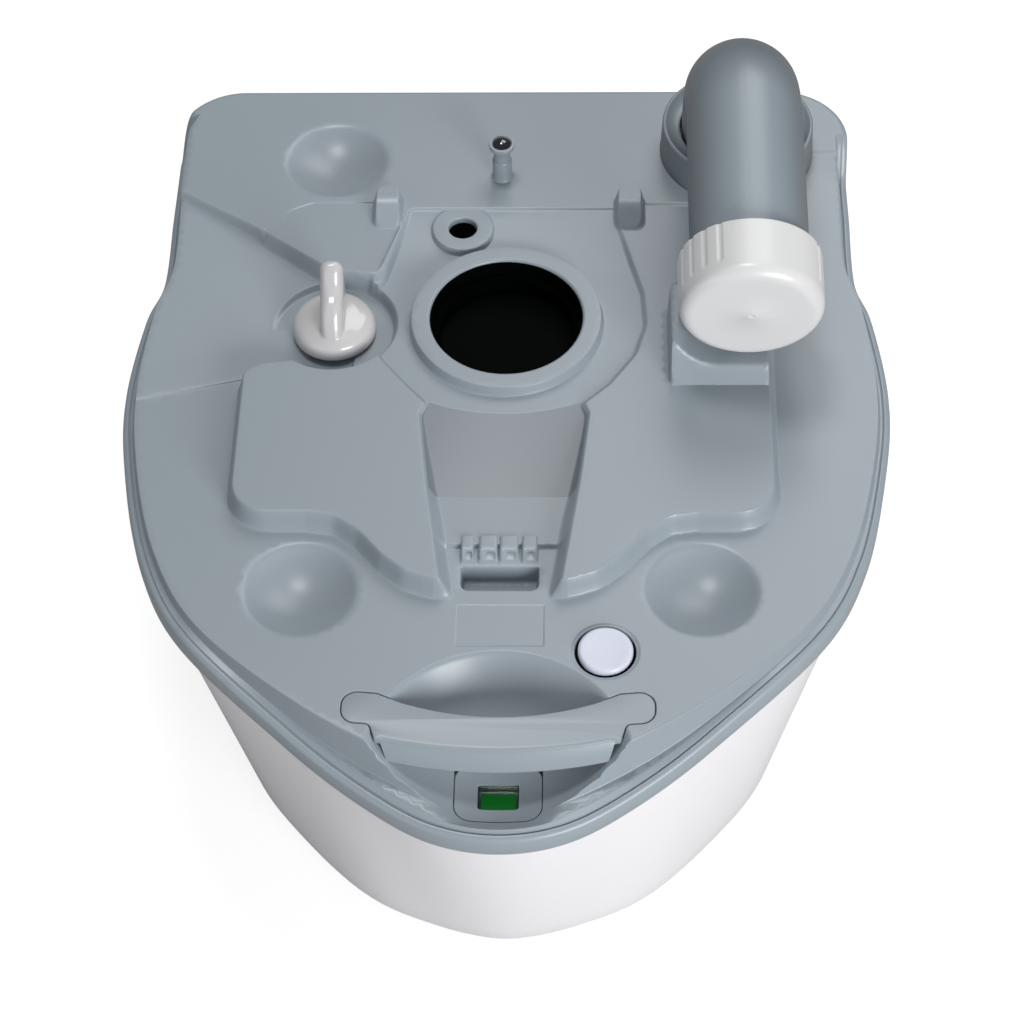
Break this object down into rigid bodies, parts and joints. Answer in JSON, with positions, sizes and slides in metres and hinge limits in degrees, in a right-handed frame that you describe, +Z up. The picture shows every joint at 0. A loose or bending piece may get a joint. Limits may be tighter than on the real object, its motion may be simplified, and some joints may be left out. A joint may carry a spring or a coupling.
{
  "type": "portable toilet waste-holding tank",
  "caption": "Lower waste-holding tank of a portable toilet with a turning slide valve, a swivelling pour-out spout with screw cap, an air vent button, a carry handle and a level indicator.",
  "frame": {"origin": "on the floor under the middle of the deck's width and depth", "axes": "+X to the right as seen in the picture, +Y to the rear, +Z up"},
  "size_m": [0.384, 0.448, 0.2982],
  "materials": {
    "white_shell": "smooth white blow-moulded wall",
    "grey_deck": "satin grey moulding",
    "grey_spout": "satin grey moulding",
    "white_gloss": "glossy white moulding",
    "button_white": "pale cool white moulding",
    "black_rubber": "black sealing rubber",
    "black_plastic": "black moulding",
    "steel": "stainless",
    "window_clear": "clear window",
    "flag_green": "green half and red half",
    "float_cream": "foamed float"
  },
  "bodies": {
    "tank": {"tank_shell": "white_shell", "deck": "grey_deck", "lip_seal": "black_rubber", "valve_housing": "black_plastic", "housing_screws": "steel", "shaft_seal": "black_rubber", "latch_post": "grey_deck", "latch_ball": "steel", "spout_collar": "grey_spout", "spout_o_ring": "black_rubber", "vent_guide": "white_gloss", "vent_spring": "steel", "carry_handle": "grey_deck", "indicator_panel": "grey_deck", "indicator_window": "window_clear", "float_pin": "steel"},
    "valve": {"valve_knob": "white_gloss", "valve_shaft": "black_plastic", "valve_blade": "black_plastic", "shaft_clip": "steel"},
    "spout": {"spout_elbow": "grey_spout"},
    "gasket": {"cap_gasket": "black_rubber"},
    "cap": {"spout_cap": "white_gloss"},
    "vent": {"vent_button": "button_white", "vent_stem": "white_gloss", "vent_poppet": "black_rubber"},
    "float": {"indicator_flag": "flag_green", "float_arm": "black_plastic", "level_float": "float_cream"}
  },
  "joints": [
    {"name": "valve_turn", "type": "hinge", "parent": "tank", "child": "valve", "pos_m": [-0.0875, 0.0575, 0.19], "axis": [0, 0, 1], "range_deg": [0, 90]},
    {"name": "spout_swivel", "type": "hinge", "parent": "tank", "child": "spout", "pos_m": [0.12, 0.177, 0.215], "axis": [0, 0, 1], "range_deg": [0, 180]},
    {"name": "cap_slide", "type": "slide", "parent": "spout", "child": "gasket", "axis": [0, -0.9903, -0.1392], "range_m": [0, 0.0121]},
    {"name": "cap_turn", "type": "hinge", "parent": "gasket", "child": "cap", "pos_m": [0.12, 0.017, 0.252], "axis": [0, -0.9903, -0.1392], "range_deg": [0, 864]},
    {"name": "vent_press", "type": "slide", "parent": "tank", "child": "vent", "axis": [0, 0, -1], "range_m": [0, 0.004], "stiffness_N_per_m": 800, "springref_m": -0.003, "deforming": ["vent_spring"]},
    {"name": "level_float", "type": "hinge", "parent": "tank", "child": "float", "pos_m": [0, -0.1944, 0.1365], "axis": [1, 0, 0], "range_deg": [0, 45]}
  ],
  "couplings": [
    {"joint": "cap_slide", "follows": "cap_turn", "m_per_rad": 0.00079577}
  ]
}
